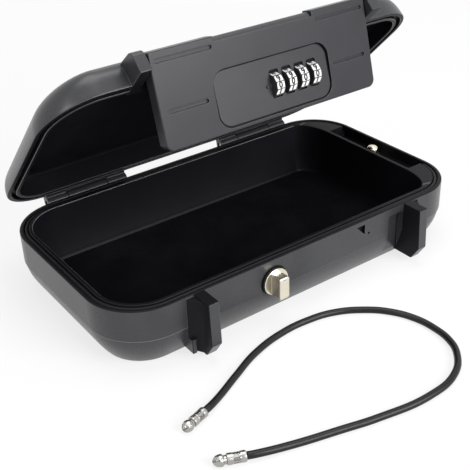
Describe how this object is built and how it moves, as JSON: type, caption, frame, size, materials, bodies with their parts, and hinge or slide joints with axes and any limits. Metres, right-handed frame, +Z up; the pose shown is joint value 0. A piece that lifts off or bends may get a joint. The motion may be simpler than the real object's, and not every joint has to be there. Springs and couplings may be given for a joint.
{
  "type": "portable_car_safe",
  "caption": "Portable car safe: black steel lock box with a hinged lid, a four-wheel combination lock flap, a lock post and a looped tie-down cable",
  "frame": {"origin": "middle of the base's flat underside, on the ground", "axes": "+X along the length to the right, +Y to the rear hinge, +Z up; the lock post and the fins are at -Y"},
  "size_m": [0.24, 0.2416, 0.1504],
  "materials": {
    "black_coat": "satin black powder coat",
    "flap_coat": "fine satin graphite coat",
    "nickel": "warm nickel plate",
    "steel": "plain drawn steel",
    "brass": "turned brass",
    "seal_rubber": "matte black rubber",
    "foam": "matte black foam sheet",
    "cable_jacket": "glossy black vinyl jacket",
    "wheel_plastic": "moulded white wheels with black digits"
  },
  "bodies": {
    "base": {"base_shell": "black_coat", "rim_gasket": "seal_rubber", "base_liner": "foam", "lock_post": "nickel", "post_washer": "seal_rubber", "post_nut": "steel", "cable_stud": "nickel", "hinge_pin_left": "steel", "hinge_pin_right": "steel", "cable_sheath": "cable_jacket", "cable_sleeve_a": "steel", "cable_sleeve_b": "steel", "cable_head_a": "steel", "cable_head_b": "steel"},
    "lid": {"lid_shell": "black_coat", "lid_liner": "foam"},
    "flap_pin": {"flap_hinge_pin": "steel"},
    "flap": {"flap_housing": "flap_coat", "flap_back_cover": "black_coat", "cover_screw_1": "steel", "cover_screw_2": "steel", "cover_screw_3": "steel", "cover_screw_4": "steel", "dial_shaft": "steel", "detent_plate": "steel", "bolt_spring": "steel"},
    "bolt": {"latch_bolt": "brass"},
    "wheel_1": {"dial_1": "wheel_plastic", "dial_hub_1": "brass"},
    "wheel_2": {"dial_2": "wheel_plastic", "dial_hub_2": "brass"},
    "wheel_3": {"dial_3": "wheel_plastic", "dial_hub_3": "brass"},
    "wheel_4": {"dial_4": "wheel_plastic", "dial_hub_4": "brass"}
  },
  "joints": [
    {"name": "lid_hinge", "type": "hinge", "parent": "base", "child": "lid", "pos_m": [0, 0.07014, 0.03497], "axis": [-1, 0, 0], "range_deg": [-45.06, 6]},
    {"name": "flap_pin_turn", "type": "hinge", "parent": "lid", "child": "flap_pin", "pos_m": [0, -0.02401, 0.14422], "axis": [-1, 0, 0], "range_deg": [-4.1, 30.2]},
    {"name": "lock_flap", "type": "hinge", "parent": "flap_pin", "child": "flap", "pos_m": [0, -0.02401, 0.14422], "axis": [-1, 0, 0], "range_deg": [0, 95]},
    {"name": "latch_slide", "type": "slide", "parent": "flap", "child": "bolt", "axis": [1, 0, 0], "range_m": [0, 0.0025], "stiffness_N_per_m": 400, "springref_m": -0.001},
    {"name": "wheel_1_turn", "type": "hinge", "parent": "flap", "child": "wheel_1", "pos_m": [0.002, -0.03274, 0.11706], "axis": [-1, 0, 0], "continuous": true},
    {"name": "wheel_2_turn", "type": "hinge", "parent": "flap", "child": "wheel_2", "pos_m": [0.0103, -0.03274, 0.11706], "axis": [-1, 0, 0], "continuous": true},
    {"name": "wheel_3_turn", "type": "hinge", "parent": "flap", "child": "wheel_3", "pos_m": [0.0186, -0.03274, 0.11706], "axis": [-1, 0, 0], "continuous": true},
    {"name": "wheel_4_turn", "type": "hinge", "parent": "flap", "child": "wheel_4", "pos_m": [0.0269, -0.03274, 0.11706], "axis": [-1, 0, 0], "continuous": true}
  ],
  "couplings": [
    {"joint": "flap_pin_turn", "follows": "lid_hinge", "ratio": -0.6671}
  ]
}
